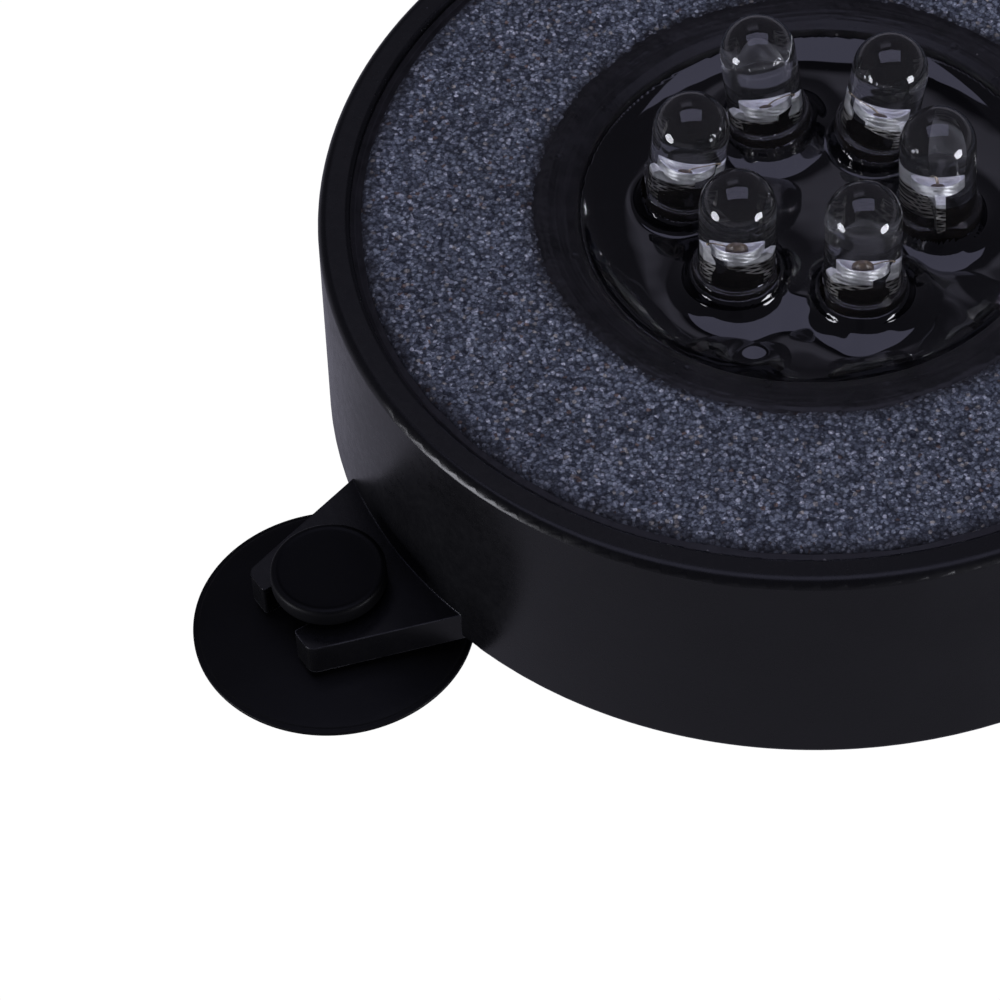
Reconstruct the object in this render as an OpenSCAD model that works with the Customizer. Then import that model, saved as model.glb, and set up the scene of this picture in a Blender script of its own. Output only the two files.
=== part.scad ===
// Round bubbling air stone for a pond or aquarium: a tray-shaped housing
// carries a ring of bonded grit over an air chamber, a potted well with six
// round-top LEDs in its centre, and three tabs with slide-in suction cups.
// Millimetres.  z = 0 is the underside of the housing, +Z is up and the hose
// and cable ports face +Y.

/* [Housing] */
// Radius of the housing at its top edge
shell_r = 32.5; // [32:0.1:33]
// Extra radius at the foot of the wall (moulding draft)
shell_draft = 0.4; // [0.2:0.1:0.6]
// Height of the housing wall
shell_h = 16.8; // [16.8:0.1:17.4]
// Inner radius of the rim
rim_in_r = 30.4; // [30.3:0.1:30.6]
// Rounding of the outer top edge
rim_round = 0.7; // [0.4:0.1:0.9]
// Rounding of the outer bottom edge
foot_round = 0.5; // [0.3:0.1:0.8]
// Thickness of the floor
floor_t = 2; // [1.6:0.1:2.4]
// Inner radius of the central LED well
well_r = 15.5; // [15.4:0.1:15.8]
// Outer radius of the wall round the LED well
well_out_r = 17.4; // [17.2:0.1:17.6]
// Height of the top of the well wall
well_h = 15; // [14.8:0.1:15.2]
// Height of the shelf that carries the stone, so also of the air chamber
shelf_z = 10.4; // [10.2:0.1:10.8]
// Height of the shelf that carries the circuit board
board_z = 8.6; // [8.4:0.1:8.8]

/* [Stone ring] */
// Outer radius of the bonded grit ring
stone_r = 29.8; // [29.6:0.1:30]
// Inner radius of the bonded grit ring
stone_in_r = 17.9; // [17.8:0.1:18.2]
// Height of its upper face
stone_top = 16.4; // [16.2:0.1:16.6]

/* [Potting] */
// Level of the potting compound in the well
pot_z = 14.8; // [14.6:0.1:15]
// Height of the mound of compound that each LED stands on
mound_h = 1.3; // [1.2:0.1:1.4]
// Radius of a mound at its foot
mound_r = 3.5; // [3.3:0.05:3.55]

/* [LEDs] */
// Number of LEDs
led_n = 6; // [6:1:6]
// Radius of the ring that the LEDs stand on
led_ring_r = 8; // [7.9:0.1:8.2]
// Radius of an LED's body and dome
led_r = 2.5; // [2.4:0.05:2.55]
// Radius of the flange at its foot
led_flange_r = 2.9; // [2.8:0.05:2.95]
// Height of the flange
led_flange_h = 1; // [0.8:0.1:1.2]
// Height of the dome's centre above the foot
led_dome_z = 6.3; // [6:0.1:6.5]
// How far the foot sinks into the potting compound
led_sink = 0.3; // [0.2:0.05:0.4]
// Distance between the two legs
leg_pitch = 2.54; // [2.5:0.02:2.56]
// Side of a leg's square section
leg_t = 0.5; // [0.45:0.01:0.55]

/* [Suction cups] */
// Distance of each cup's axis from the housing's axis
cup_pos_r = 37.9; // [37.8:0.1:38.2]
// Radius of the cup's skirt
cup_r = 9.3; // [9:0.1:9.4]
// How far the lip reaches below the housing's underside
cup_drop = 1.7; // [1.6:0.1:2]
// Radius of the neck that slides in the tab's notch
neck_r = 1.6; // [1.5:0.05:1.6]
// Radius of the button head above the tab
head_r = 3.8; // [3.6:0.1:4]
// Thickness of the button head
head_t = 1.5; // [1.3:0.05:1.6]
// Height of the underside of the button head
head_z = 2.7; // [2.65:0.05:2.9]

/* [Tabs] */
// Thickness of a tab
tab_t = 2.4; // [2.2:0.1:2.5]
// Distance of a tab's tip from the housing's axis
tab_tip_r = 41.8; // [41:0.1:42]
// Half the width of a tab at its tip
tab_tip_w = 3.95; // [3.9:0.05:4.1]
// Angle at which each side of a tab spreads towards the housing
tab_flare = 17; // [15:1:19]
// Width of the notch that takes the neck of a suction cup
notch_w = 4; // [3.9:0.05:4.1]
// Rounding of the outer corners of a tab
tab_corner = 0.7; // [0.5:0.1:1]
// Rounding of the notch's mouth
mouth_round = 0.25; // [0.2:0.05:0.4]

/* [Ports] */
// Angle between the two ports
port_split = 26; // [24:1:30]
// Height of the ports' axes
port_z = 6; // [5.8:0.1:6.2]
// Outer radius of the hose spigot
spigot_r = 2.3; // [2.2:0.05:2.4]
// Bore radius of the hose spigot
spigot_bore = 1.4; // [1.2:0.05:1.5]
// Length of the hose spigot beyond its collar
spigot_len = 11; // [9:0.5:12]
// Bore radius of the cable gland
gland_bore = 1.7; // [1.6:0.05:1.8]

/* [Hidden] */
$fn = 96;
eps = 0.01;
pi = 3.14159265;

shell_foot_r = shell_r + shell_draft;
draft_a = atan(shell_draft / shell_h);
boss_r = 4.2;                      // round boss behind each port's collar
boss_face = shell_foot_r + 0.9;    // flat face of each boss
collar_t = 1;                      // collar of the spigot and of the gland
hose_az = 90 - port_split / 2;
cable_az = 90 + port_split / 2;
tab_az = [270, 30, 150];
board_t = 1.2;
board_r = well_r - 0.2;
led_foot_z = pot_z + mound_h - led_sink;
leg_end_z = board_z - 0.9 - led_foot_z;
wire_r = 0.6;
wire_gap = 0.75;                   // each supply lead's offset from the duct's axis
wire_turn = 2;                     // bend radius of the supply leads
// LEDs stand by hand in the compound while it sets: each one is a little off
// its even place and leans a few degrees its own way
led_phase = 50;
led_turn = [1, 5, -1, -3, -4, -1];
led_out = [0, -0.3, 0.3, 0.8, -0.2, 0];
led_lean = [2, 9, 5, 8, 2, 4];
led_lean_az = [150, 30, 230, 25, 70, 130];
led_spin = [2, 170, 192, 37, 172, 292];
// how far each LED's lead frame sits below its usual height
frame_drop = [0.3, 0.9, 1.6, 0.5, 0.6, 1.1];

function wall_at(z) = shell_foot_r - z * tan(draft_a);
function fillet_x(z, f) = wall_at(z + f * sin(draft_a)) - f * cos(draft_a);
function tab_half(r) = tab_tip_w + (tab_tip_r - r) * tan(tab_flare);
function led_az(i) = led_phase + 360 / led_n * i + led_turn[i];

// ---------- placing ----------
module at_led(i) {
  a = led_az(i);
  r = led_ring_r + led_out[i];
  translate([r * cos(a), r * sin(a), led_foot_z])
    rotate([0, 0, led_lean_az[i]]) rotate([0, led_lean[i], 0])
      rotate([0, 0, led_spin[i]]) children();
}
// radial frame: local +Z points outwards along azimuth az at height z
module radial(az, r, z) rotate([0, 0, az]) translate([r, 0, z]) rotate([0, 90, 0]) children();
module at_tab(az) rotate([0, 0, az]) children();

// ---------- housing ----------
module shell_profile() {
  ft = rim_round;
  fb = foot_round;
  xt = fillet_x(shell_h - ft, ft);
  xb = fillet_x(fb, fb);
  difference() {
    union() {
      polygon([[0, 0], [xb, 0], [xb + fb * cos(draft_a), fb + fb * sin(draft_a)],
        [xt + ft * cos(draft_a), shell_h - ft + ft * sin(draft_a)], [xt, shell_h], [0, shell_h]]);
      translate([xb, fb]) circle(fb);
      translate([xt, shell_h - ft]) circle(ft);
    }
    // air chamber and stone seat
    translate([well_out_r, floor_t]) square([rim_in_r - well_out_r, shell_h]);
    // LED well
    translate([-eps, floor_t]) square([well_r + eps, shell_h]);
    // everything above the well wall
    translate([well_r - 1, well_h]) square([well_out_r - well_r + 2, shell_h]);
    // inner edge of the rim
    translate([rim_in_r - eps, shell_h - 0.3]) difference() {
      square([0.3 + eps, 0.3 + eps]);
      translate([0.3 + eps, 0]) circle(0.3);
    }
    // shallow groove under the rim: the middle of the underside is one flat disc
    translate([28.2, -1]) square([2.6, 1.4]);
  }
}
module tab_plate() {
  cx = tab_tip_r - tab_corner;
  cy = tab_half(cx) - tab_corner / cos(tab_flare);
  tx = cx + tab_corner * sin(tab_flare);
  ty = cy + tab_corner * cos(tab_flare);
  linear_extrude(tab_t) difference() {
    union() {
      polygon([[31.2, tab_half(31.2)], [tx, ty], [cx, cy], [tab_tip_r, cy], [tab_tip_r, -cy], [cx, -cy],
        [tx, -ty], [31.2, -tab_half(31.2)]]);
      for (s = [-1, 1]) translate([cx, s * cy]) circle(tab_corner);
    }
    // notch with a round end that holds the neck of a cup
    translate([cup_pos_r, 0]) circle(notch_w / 2);
    translate([cup_pos_r, -notch_w / 2]) square([10, notch_w]);
    // rounded mouth
    for (s = [-1, 1]) translate([tab_tip_r - mouth_round, s * notch_w / 2]) difference() {
      translate([0, s > 0 ? -eps : -mouth_round]) square([mouth_round + 1, mouth_round + eps]);
      translate([0, s * mouth_round]) circle(mouth_round);
    }
  }
}
module housing() {
  color([0.035, 0.035, 0.04])
  difference() {
    union() {
      rotate_extrude() shell_profile();
      for (a = tab_az) at_tab(a) tab_plate();
      // flat-faced bosses for the two ports
      for (a = [hose_az, cable_az])
        radial(a, rim_in_r - 0.5, port_z) cylinder(r = boss_r, h = boss_face - rim_in_r + 0.5);
      // ledges that carry the stone, inside the rim and round the well
      for (k = [0:11]) rotate([0, 0, 15 + 30 * k]) {
        translate([rim_in_r - 2, -0.7, floor_t - eps]) cube([2.3, 1.4, shelf_z - floor_t + eps]);
        translate([well_out_r - 0.3, -0.7, floor_t - eps]) cube([2, 1.4, shelf_z - floor_t + eps]);
      }
      // ledges that carry the circuit board
      for (k = [0:3]) rotate([0, 0, 45 + 90 * k])
        translate([well_r - 1.7, -0.8, floor_t - eps]) cube([2, 1.6, board_z - floor_t + eps]);
      // duct that takes the cable across the air chamber
      rotate([0, 0, cable_az]) translate([well_r + 0.8, -3, floor_t - eps])
        cube([rim_in_r - well_r, 6, port_z + 3 - floor_t]);
    }
    // press seat of the hose spigot
    radial(hose_az, rim_in_r - 3, port_z) cylinder(r = 2.3, h = 20);
    // seat of the cable gland, then the cable duct
    radial(cable_az, 28.6, port_z) cylinder(r = 2.7, h = 20);
    radial(cable_az, well_r - 3, port_z) cylinder(r = 2.1, h = 16);
  }
}

// ---------- bonded grit ring ----------
module air_stone() {
  color([0.20, 0.24, 0.32])
  rotate_extrude() polygon([[stone_in_r, shelf_z], [stone_r, shelf_z], [stone_r, stone_top - 0.3],
    [stone_r - 0.3, stone_top], [stone_in_r + 0.3, stone_top], [stone_in_r, stone_top - 0.3]]);
}
module outer_seal() {
  color([0.02, 0.02, 0.022])
  rotate_extrude() polygon([[stone_r, 12], [rim_in_r, 12], [rim_in_r, stone_top - 0.1],
    [(stone_r + rim_in_r) / 2, stone_top - 0.25], [stone_r, stone_top - 0.3]]);
}
module inner_seal() {
  color([0.02, 0.02, 0.022])
  rotate_extrude() polygon([[well_r, well_h], [well_out_r, well_h], [well_out_r, 13], [stone_in_r, 13],
    [stone_in_r, stone_top - 0.3], [stone_in_r - 0.2, stone_top - 0.15], [well_out_r - 0.5, stone_top - 0.2],
    [well_r + 0.6, well_h + 0.75], [well_r, well_h + 0.55]]);
}

// ---------- LED well ----------
module potting() {
  color([0.015, 0.015, 0.018])
  difference() {
    union() {
      translate([0, 0, board_z + board_t]) cylinder(r = well_r, h = pot_z - board_z - board_t);
      // mounds that the compound draws up round the LEDs
      for (i = [0:led_n - 1]) {
        a = led_az(i);
        r = led_ring_r + led_out[i];
        translate([r * cos(a), r * sin(a), pot_z - 0.5]) cylinder(r1 = mound_r + 0.2, r2 = led_flange_r + 0.15, h = mound_h + 0.5);
      }
    }
    for (i = [0:led_n - 1]) at_led(i) {
      cylinder(r = led_flange_r, h = 3);
      for (s = [-1, 1]) leg(s);
    }
  }
}
// straight lower part of a leg, on the side s
module leg(s)
  translate([s * leg_pitch / 2 - leg_t / 2, -leg_t / 2, leg_end_z]) cube([leg_t, leg_t, 1.2 - leg_end_z]);
module lens_blank() {
  difference() {
    rotate_extrude() {
      square([led_r, led_dome_z]);
      square([led_flange_r, led_flange_h]);
      intersection() {
        translate([0, led_dome_z]) circle(led_r);
        translate([0, led_dome_z - eps]) square([led_r, led_r + 1]);
      }
    }
    // flat on the flange beside the cathode
    translate([-led_flange_r - 1, -5, -1]) cube([1 + led_flange_r - led_r, 10, led_flange_h + 1]);
  }
}
module cathode_shape(d) {
  leg(-1);
  // anvil plate that carries the reflector cup
  translate([0, leg_t / 2, 0]) rotate([90, 0, 0]) linear_extrude(leg_t)
    polygon([[-leg_pitch / 2 - leg_t / 2, 1], [-leg_pitch / 2 + leg_t / 2, 1], [0.35, 2.5 - d], [0.35, 3.6 - d],
      [-1.1, 3.6 - d], [-leg_pitch / 2 - leg_t / 2, 3 - d]]);
  translate([0, 0, -d]) difference() {
    translate([0, 0, 3.4]) cylinder(r = 0.9, h = 0.9);
    cup_hollow();
  }
}
module cup_hollow() translate([0, 0, 3.8]) cylinder(r1 = 0.42, r2 = 0.78, h = 0.51);
module anode_shape(d) {
  leg(1);
  translate([0, leg_t / 2, 0]) rotate([90, 0, 0]) linear_extrude(leg_t)
    polygon([[leg_pitch / 2 - leg_t / 2, 1], [leg_pitch / 2 + leg_t / 2, 1], [leg_pitch / 2 + leg_t / 2 + 0.1, 3.9 - d],
      [1.05, 4.1 - d], [1.05, 3.5 - d], [0.85, 2.9 - d], [0.85, 2.3 - d]]);
}
module die_shape() translate([-0.175, -0.175, 3.8]) cube([0.35, 0.35, 0.16]);
module wire_shape() translate([0.625, 0, 3.96]) rotate([90, 0, 0])
  intersection() {
    rotate_extrude($fn = 48) translate([0.55, 0]) circle(0.05, $fn = 24);
    translate([-1, 0.13, -1]) cube([2, 1, 2]);
  }
module led_lens(i) {
  color([0.86, 0.88, 0.9, 0.45])
  at_led(i) difference() {
    lens_blank();
    cathode_shape(frame_drop[i]);
    anode_shape(frame_drop[i]);
    translate([0, 0, -frame_drop[i]]) {
      cup_hollow();
      wire_shape();
    }
  }
}
module led_cathode(i) color([0.8, 0.8, 0.78]) at_led(i) cathode_shape(frame_drop[i]);
module led_anode(i) color([0.8, 0.8, 0.78]) at_led(i) anode_shape(frame_drop[i]);
module led_dies() color([0.72, 0.45, 0.2]) for (i = [0:led_n - 1]) at_led(i) translate([0, 0, -frame_drop[i]]) die_shape();
module bond_wires() color([0.85, 0.68, 0.3]) for (i = [0:led_n - 1]) at_led(i) translate([0, 0, -frame_drop[i]]) wire_shape();

// ---------- circuit board ----------
module at_wire(s) rotate([0, 0, cable_az]) translate([0, s * wire_gap, 0]) children();
module supply_hole(s) at_wire(s) translate([9, 0, board_z - 2]) cylinder(r = wire_r / 2, h = 5);
module circuit_board() {
  color([0.05, 0.32, 0.16])
  difference() {
    translate([0, 0, board_z]) cylinder(r = board_r, h = board_t);
    for (i = [0:led_n - 1]) at_led(i) for (s = [-1, 1])
      translate([s * leg_pitch / 2, 0, leg_end_z - 1]) cylinder(r = 0.45, h = 5, $fn = 32);
  }
}
// cones of solder round the legs and on the supply leads' pads
module solder_joints() {
  color([0.72, 0.73, 0.75]) {
    for (i = [0:led_n - 1]) for (s = [-1, 1]) intersection() {
      difference() {
        at_led(i) translate([s * leg_pitch / 2, 0, leg_end_z + 0.1]) cylinder(r1 = 0.45, r2 = 0.95, h = 1.4, $fn = 32);
        at_led(i) leg(s);
      }
      translate([-20, -20, board_z - 3]) cube([40, 40, 3]);
    }
    for (s = [-1, 1]) at_wire(s) translate([9, 0, board_z - 0.5]) cylinder(r1 = 0.35, r2 = 0.7, h = 0.5, $fn = 32);
  }
}
module resistor(az) {
  color([0.06, 0.06, 0.065])
  rotate([0, 0, az]) translate([11, 0, board_z - 0.6]) {
    translate([-0.8, -1.6, 0]) cube([1.6, 3.2, 0.6]);
  }
}
// insulated conductor from the duct to its pad under the board
module supply_lead(s, c) {
  color(c) at_wire(s) {
    x0 = 9 + wire_turn;
    translate([9, 0, port_z + wire_turn]) cylinder(r = wire_r, h = board_z - 0.5 - port_z - wire_turn);
    translate([x0, 0, port_z + wire_turn]) rotate([90, 0, 0]) rotate([0, 0, 180])
      rotate_extrude(angle = 90) translate([wire_turn, 0]) circle(wire_r, $fn = 48);
    translate([x0, 0, port_z]) rotate([0, 90, 0]) cylinder(r = wire_r, h = 22 - x0);
  }
}

// ---------- ports ----------
module air_inlet() {
  color([0.04, 0.04, 0.045])
  radial(hose_az, 0, port_z) rotate_extrude() polygon([
    [spigot_bore, rim_in_r - 1.2], [2.3, rim_in_r - 1.2], [2.3, boss_face], [3.4, boss_face],
    [3.4, boss_face + collar_t], [spigot_r, boss_face + collar_t],
    [spigot_r, boss_face + collar_t + spigot_len - 0.5], [spigot_r - 0.5, boss_face + collar_t + spigot_len],
    [spigot_bore, boss_face + collar_t + spigot_len]]);
}
module cable_gland() {
  color([0.05, 0.05, 0.052])
  radial(cable_az, 0, port_z) rotate_extrude() polygon([
    [gland_bore, 28.6], [2.7, 28.6], [2.7, boss_face], [3.6, boss_face],
    [3.6, boss_face + collar_t], [3.1, boss_face + collar_t + 0.5], [2.6, boss_face + collar_t + 2.2],
    [gland_bore, boss_face + collar_t + 2.2]]);
}

// ---------- suction cup ----------
module cup_profile() {
  top = -0.15;                       // top of the skirt, just under the tab
  lip = -cup_drop;
  // skirt, flat land on the lip, shallow hollow inside it
  polygon([[0, -0.85], [2, -0.9], [cup_r - 1.2, lip + 0.2], [cup_r - 0.9, lip], [cup_r - 0.15, lip], [cup_r, lip + 0.12],
    [cup_r, lip + 0.24], [cup_r - 0.12, lip + 0.34], [cup_r - 0.55, lip + 0.37], [cup_r - 0.65, lip + 0.47],
    [5.5, -0.72], [2.6, top - 0.05], [2.2, top], [0, top]]);
  // neck
  translate([0, top - 0.3]) square([neck_r, head_z - top + 0.6]);
  // button head
  translate([0, head_z]) square([head_r - 0.45, head_t]);
  translate([0, head_z + 0.45]) square([head_r, head_t - 0.9]);
  translate([head_r - 0.45, head_z + 0.45]) circle(0.45, $fn = 48);
  translate([head_r - 0.45, head_z + head_t - 0.45]) circle(0.45, $fn = 48);
}
module suction_cup(az) {
  color([0.045, 0.045, 0.05])
  at_tab(az) translate([cup_pos_r, 0, 0]) rotate_extrude() cup_profile();
}

housing();
air_stone();
outer_seal();
inner_seal();
potting();
led_lens(0);  // led_lens_1
led_lens(1);  // led_lens_2
led_lens(2);  // led_lens_3
led_lens(3);  // led_lens_4
led_lens(4);  // led_lens_5
led_lens(5);  // led_lens_6
led_cathode(0);  // led_cathode_1
led_cathode(1);  // led_cathode_2
led_cathode(2);  // led_cathode_3
led_cathode(3);  // led_cathode_4
led_cathode(4);  // led_cathode_5
led_cathode(5);  // led_cathode_6
led_anode(0);  // led_anode_1
led_anode(1);  // led_anode_2
led_anode(2);  // led_anode_3
led_anode(3);  // led_anode_4
led_anode(4);  // led_anode_5
led_anode(5);  // led_anode_6
led_dies();
bond_wires();
circuit_board();
solder_joints();
resistor(0);  // resistor_1
resistor(180);  // resistor_2
supply_lead(1, [0.6, 0.05, 0.04]);  // supply_lead_red
supply_lead(-1, [0.03, 0.03, 0.03]);  // supply_lead_black
air_inlet();
cable_gland();
suction_cup(tab_az[0]);  // suction_cup_front
suction_cup(tab_az[1]);  // suction_cup_right
suction_cup(tab_az[2]);  // suction_cup_left
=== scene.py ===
"""Looks of a round air stone with a lit centre: black moulded tray, bonded grit
ring, potted well with six clear LEDs and three slide-in suction cups."""
import bpy
import math
import numpy as np
from mathutils import Matrix, Vector


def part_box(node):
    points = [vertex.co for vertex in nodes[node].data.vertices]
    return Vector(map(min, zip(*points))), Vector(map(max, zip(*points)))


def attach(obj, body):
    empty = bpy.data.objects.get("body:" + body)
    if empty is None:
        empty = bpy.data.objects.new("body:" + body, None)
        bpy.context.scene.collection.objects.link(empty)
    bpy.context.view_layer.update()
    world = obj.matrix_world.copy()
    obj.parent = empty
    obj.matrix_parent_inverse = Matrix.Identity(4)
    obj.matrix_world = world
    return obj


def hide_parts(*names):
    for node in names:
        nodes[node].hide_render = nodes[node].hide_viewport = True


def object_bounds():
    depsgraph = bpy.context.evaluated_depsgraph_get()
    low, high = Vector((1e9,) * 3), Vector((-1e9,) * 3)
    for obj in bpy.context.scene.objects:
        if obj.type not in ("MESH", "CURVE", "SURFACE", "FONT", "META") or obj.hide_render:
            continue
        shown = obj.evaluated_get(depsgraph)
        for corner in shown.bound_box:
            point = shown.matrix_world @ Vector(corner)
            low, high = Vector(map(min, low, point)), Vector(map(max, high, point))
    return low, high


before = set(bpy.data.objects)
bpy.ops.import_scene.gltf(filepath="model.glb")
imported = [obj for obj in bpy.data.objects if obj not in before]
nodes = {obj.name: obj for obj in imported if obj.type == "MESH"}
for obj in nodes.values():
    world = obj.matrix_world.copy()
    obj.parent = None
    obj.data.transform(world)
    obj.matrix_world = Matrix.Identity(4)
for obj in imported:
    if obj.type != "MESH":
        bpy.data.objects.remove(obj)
cad_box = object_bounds()
MM = 0.001
TURN = math.radians(62.3)          # azimuth of the picture's horizontal in the row frame


def side(x, y):
    """A point or direction given across and away from the viewer, in the row frame."""
    c, s = math.cos(TURN), math.sin(TURN)
    return x * c - y * s, x * s + y * c


# ------------------------------------------------------------------ camera
def make_camera():
    tilt, roll = 0.8792948249, -0.0818815349
    t = Vector((0.6583369, -0.2839165, 12.4185763)) * 0.0325
    c, s = math.cos(roll), math.sin(roll)
    right = Vector((1, 0, 0))
    down = Vector((0, -math.sin(tilt), -math.cos(tilt)))
    fwd = Vector((0, math.cos(tilt), -math.sin(tilt)))
    row0, row1, row2 = right * c - down * s, right * s + down * c, fwd
    centre = -(row0 * t.x + row1 * t.y + row2 * t.z)
    turn = Matrix.Rotation(TURN, 3, "Z")
    x, y, z = turn @ row0, turn @ -row1, turn @ -row2
    centre = turn @ centre
    data = bpy.data.cameras.new("camera")
    data.lens, data.sensor_width, data.sensor_fit = 216.0, 36.0, "HORIZONTAL"
    data.clip_start, data.clip_end = 0.01, 20
    cam = bpy.data.objects.new("camera", data)
    bpy.context.scene.collection.objects.link(cam)
    m = Matrix((x, y, z)).transposed().to_4x4()
    m.translation = centre
    cam.matrix_world = m
    bpy.context.scene.camera = cam
    return cam


# ------------------------------------------------------------------ node helpers
class Mat:
    def __init__(self, name):
        self.m = bpy.data.materials.new(name)
        self.m.use_nodes = True
        self.nt = self.m.node_tree
        self.nt.nodes.clear()
        self.out = self.n("ShaderNodeOutputMaterial")
        self.b = self.n("ShaderNodeBsdfPrincipled")
        self.l(self.b.outputs[0], self.out.inputs[0])
        self.co = self.n("ShaderNodeTexCoord").outputs["Object"]

    def n(self, kind, **props):
        node = self.nt.nodes.new(kind)
        for k, v in props.items():
            setattr(node, k, v)
        return node

    def l(self, a, b):
        self.nt.links.new(a, b)

    def set(self, **values):
        for k, v in values.items():
            self.b.inputs[k.replace("_", " ")].default_value = v

    def noise(self, size_mm, detail=4.0, rough=0.55, co=None, distortion=0.0):
        x = self.n("ShaderNodeTexNoise")
        x.inputs["Scale"].default_value = 1000.0 / size_mm
        x.inputs["Detail"].default_value = detail
        x.inputs["Roughness"].default_value = rough
        x.inputs["Distortion"].default_value = distortion
        self.l(co or self.co, x.inputs["Vector"])
        return x.outputs["Fac"]

    def voronoi(self, size_mm, feature="F1", randomness=1.0, co=None):
        x = self.n("ShaderNodeTexVoronoi", feature=feature)
        x.inputs["Scale"].default_value = 1000.0 / size_mm
        x.inputs["Randomness"].default_value = randomness
        self.l(co or self.co, x.inputs["Vector"])
        return x

    def stretch(self, sx, sy, sz, rot=(0, 0, 0)):
        x = self.n("ShaderNodeMapping")
        x.inputs["Scale"].default_value = (sx, sy, sz)
        x.inputs["Rotation"].default_value = rot
        self.l(self.co, x.inputs["Vector"])
        return x.outputs[0]

    def ramp(self, fac, stops, interp="LINEAR"):
        x = self.n("ShaderNodeValToRGB")
        x.color_ramp.interpolation = interp
        e = x.color_ramp.elements
        while len(e) > len(stops):
            e.remove(e[-1])
        while len(e) < len(stops):
            e.new(0.5)
        for el, (p, c) in zip(e, stops):
            el.position = p
            el.color = tuple(c) + (1,) if len(c) == 3 else c
        self.l(fac, x.inputs[0])
        return x.outputs[0]

    def span(self, fac, a, b, c, d, clamp=True):
        x = self.n("ShaderNodeMapRange", clamp=clamp)
        for i, v in zip((1, 2, 3, 4), (a, b, c, d)):
            x.inputs[i].default_value = v
        self.l(fac, x.inputs[0])
        return x.outputs[0]

    def math(self, op, a, b=None, clamp=False):
        x = self.n("ShaderNodeMath", operation=op, use_clamp=clamp)
        for i, v in enumerate((a, b)):
            if v is None:
                continue
            if isinstance(v, (int, float)):
                x.inputs[i].default_value = v
            else:
                self.l(v, x.inputs[i])
        return x.outputs[0]

    def mix(self, fac, a, b, mode="MIX"):
        x = self.n("ShaderNodeMix", data_type="RGBA", blend_type=mode)
        for i, v in ((0, fac), (6, a), (7, b)):
            if isinstance(v, (int, float)):
                x.inputs[i].default_value = v
            elif isinstance(v, (tuple, list)):
                x.inputs[i].default_value = tuple(v) + (1,)
            else:
                self.l(v, x.inputs[i])
        return x.outputs[2]

    def bump(self, height, dist_mm, strength=1.0, normal=None):
        x = self.n("ShaderNodeBump")
        x.inputs["Strength"].default_value = strength
        x.inputs["Distance"].default_value = dist_mm * MM
        self.l(height, x.inputs["Height"])
        if normal is not None:
            self.l(normal, x.inputs["Normal"])
        return x.outputs[0]

    def xyz(self, co=None):
        x = self.n("ShaderNodeSeparateXYZ")
        self.l(co or self.co, x.inputs[0])
        return x.outputs


def specks(m, cell_mm, size, chance):
    """Sparse small dots: 1 on a speck, 0 elsewhere."""
    v = m.voronoi(cell_mm)
    pick = m.n("ShaderNodeSeparateColor")
    m.l(v.outputs["Color"], pick.inputs[0])
    on = m.math("GREATER_THAN", pick.outputs[0], 1 - chance)
    radius = m.math("MULTIPLY", pick.outputs[1], size)
    dot = m.math("LESS_THAN", v.outputs["Distance"], radius)
    return m.math("MULTIPLY", on, dot)


# ------------------------------------------------------------------ materials
def edge_wear_and_sheen(m, radius_mm):
    """The normal rounded over at edges, and how much a point belongs to such an edge."""
    soft = m.n("ShaderNodeBevel", samples=6)
    soft.inputs["Radius"].default_value = radius_mm * MM
    geo = m.n("ShaderNodeNewGeometry")
    dot = m.n("ShaderNodeVectorMath", operation="DOT_PRODUCT")
    m.l(soft.outputs[0], dot.inputs[0])
    m.l(geo.outputs["Normal"], dot.inputs[1])
    edge = m.span(dot.outputs["Value"], 0.998, 0.90, 0, 1)
    return soft.outputs[0], m.math("MULTIPLY", edge, m.span(m.noise(3.5, 5), 0.42, 0.60, 0.12, 1.0))


def black_plastic(name, tone=0.0036, rough=0.36, spec=0.26, dust=0.14, grain=1.0, bevel_mm=0.13, wear_and_sheen=0.75):
    m = Mat(name)
    m.set(Specular_IOR_Level=spec)
    cloud = m.noise(9, 3)
    fine = m.noise(0.5, 3)
    base = m.ramp(cloud, [(0.3, (tone * 0.85, tone * 0.85, tone * 0.98)), (0.7, (tone * 1.2, tone * 1.2, tone * 1.42))])
    dots = specks(m, 1.9, 0.062, dust)
    lint_co = m.stretch(1, 0.22, 0.6, (0.4, 0.3, 0.9))
    v = m.voronoi(2.6, co=lint_co)
    pick = m.n("ShaderNodeSeparateColor")
    m.l(v.outputs["Color"], pick.inputs[0])
    lint = m.math("MULTIPLY", m.math("GREATER_THAN", pick.outputs[0], 0.93), m.math("LESS_THAN", v.outputs["Distance"], 0.02))
    light = m.math("MAXIMUM", dots, lint)
    col = m.mix(light, base, (0.11, 0.11, 0.12))
    n0 = None
    if bevel_mm:                                         # moulded edges are never quite sharp; they rub pale, and the pale edge colour also paints in the thin highlight lines along them
        n0, rub_and_sheen = edge_wear_and_sheen(m, bevel_mm)
        # painted highlight: the pale edge colour is partly rubbed wear and partly a painted highlight along the edge
        col = m.mix(m.math("MULTIPLY", rub_and_sheen, wear_and_sheen), col, (0.15, 0.15, 0.17))
    m.l(col, m.b.inputs["Base Color"])
    r = m.math("ADD", m.span(cloud, 0.3, 0.7, rough - 0.05, rough + 0.05), m.span(fine, 0.3, 0.7, -0.03, 0.04))
    m.l(r, m.b.inputs["Roughness"])
    n1 = m.bump(m.noise(0.22, 2), 0.006 * grain, 0.6, n0)
    n2 = m.bump(m.noise(3.5, 2), 0.007 * grain, 0.5, n1)
    m.l(n2, m.b.inputs["Normal"])
    return m.m


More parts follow.
